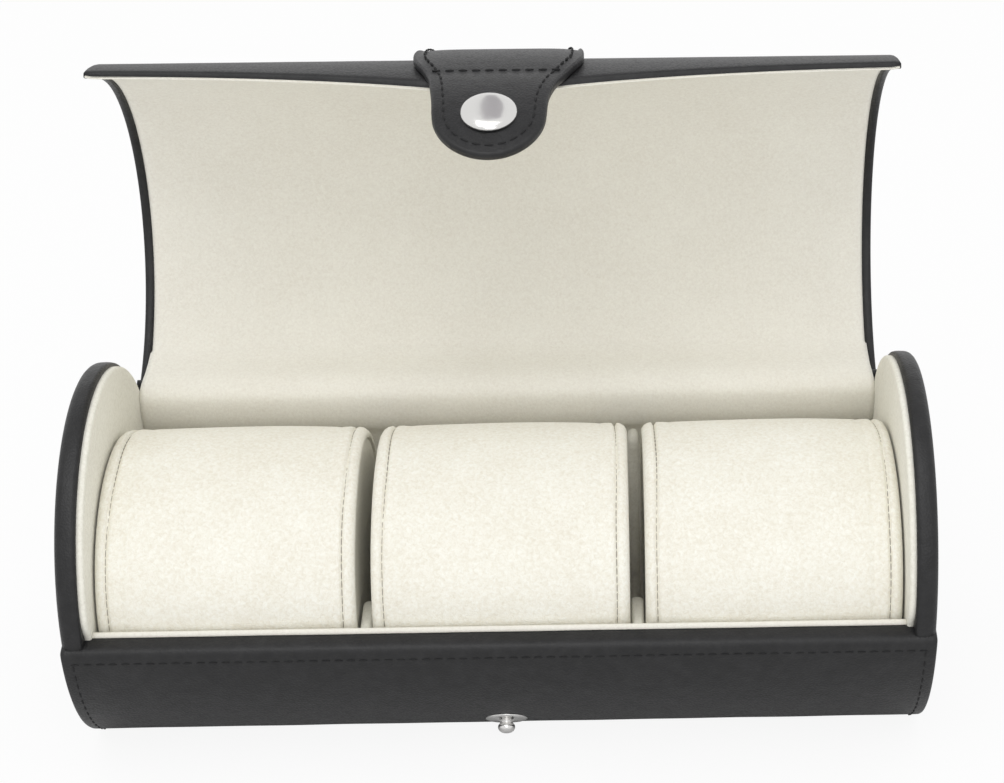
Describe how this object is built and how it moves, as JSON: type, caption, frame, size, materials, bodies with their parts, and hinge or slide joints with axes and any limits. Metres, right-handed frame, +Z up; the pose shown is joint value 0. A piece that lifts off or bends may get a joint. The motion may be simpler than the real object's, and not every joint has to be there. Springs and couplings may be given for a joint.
{
  "type": "watch travel case",
  "caption": "Barrel-shaped travel roll for watches: stiff leather tray with round ends, curved hinged lid, snap strap and padded watch pillows.",
  "frame": {"origin": "centre of the flat underside that the case stands on", "axes": "+X to the case's right along its length, -Y to its front (strap and snap side), +Z up"},
  "size_m": [0.195, 0.1164, 0.1479],
  "materials": {
    "black_leather": "matte",
    "board": "matte",
    "tray_lining": "matte",
    "lid_lining": "matte",
    "nickel": "polished",
    "foam": "matte",
    "pillow_velvet": "matte"
  },
  "bodies": {
    "tray": {"base_cover": "black_leather", "base_board": "board", "base_lining": "tray_lining", "divider_left": "tray_lining", "divider_right": "tray_lining", "end_board_left": "board", "end_board_right": "board", "end_cover_left": "black_leather", "end_cover_right": "black_leather", "end_lining_left": "tray_lining", "end_lining_right": "tray_lining", "hinge_strip": "black_leather", "snap_stud": "nickel", "stud_washer": "nickel"},
    "lid": {"lid_cover": "black_leather", "lid_board": "board", "lid_lining": "lid_lining", "hinge_leaf": "lid_lining", "strap_root": "black_leather"},
    "strap_end": {"strap_face": "black_leather", "strap_back": "black_leather", "snap_cap": "nickel", "snap_socket": "nickel", "snap_spring": "nickel"},
    "pillow_left": {"pillow_left_core": "foam", "pillow_left_sleeve": "pillow_velvet", "pillow_left_panels": "pillow_velvet"},
    "pillow_middle": {"pillow_middle_core": "foam", "pillow_middle_sleeve": "pillow_velvet", "pillow_middle_panels": "pillow_velvet"},
    "pillow_right": {"pillow_right_core": "foam", "pillow_right_sleeve": "pillow_velvet", "pillow_right_panels": "pillow_velvet"}
  },
  "joints": [
    {"name": "lid_hinge", "type": "hinge", "parent": "tray", "child": "lid", "pos_m": [0, 0.03551, 0.058], "axis": [-1, 0, 0], "range_deg": [-105, 0]},
    {"name": "strap_flex", "type": "hinge", "parent": "lid", "child": "strap_end", "pos_m": [0, 0.02076, 0.14623], "axis": [-1, 0, 0], "range_deg": [-9.5, 40], "stiffness_Nm_per_rad": 0.1},
    {"name": "pillow_left_lift", "type": "slide", "parent": "tray", "child": "pillow_left", "axis": [0, 0, 1], "range_m": [0, 0.05]},
    {"name": "pillow_middle_lift", "type": "slide", "parent": "tray", "child": "pillow_middle", "axis": [0, 0, 1], "range_m": [0, 0.05]},
    {"name": "pillow_right_lift", "type": "slide", "parent": "tray", "child": "pillow_right", "axis": [0, 0, 1], "range_m": [0, 0.05]}
  ]
}
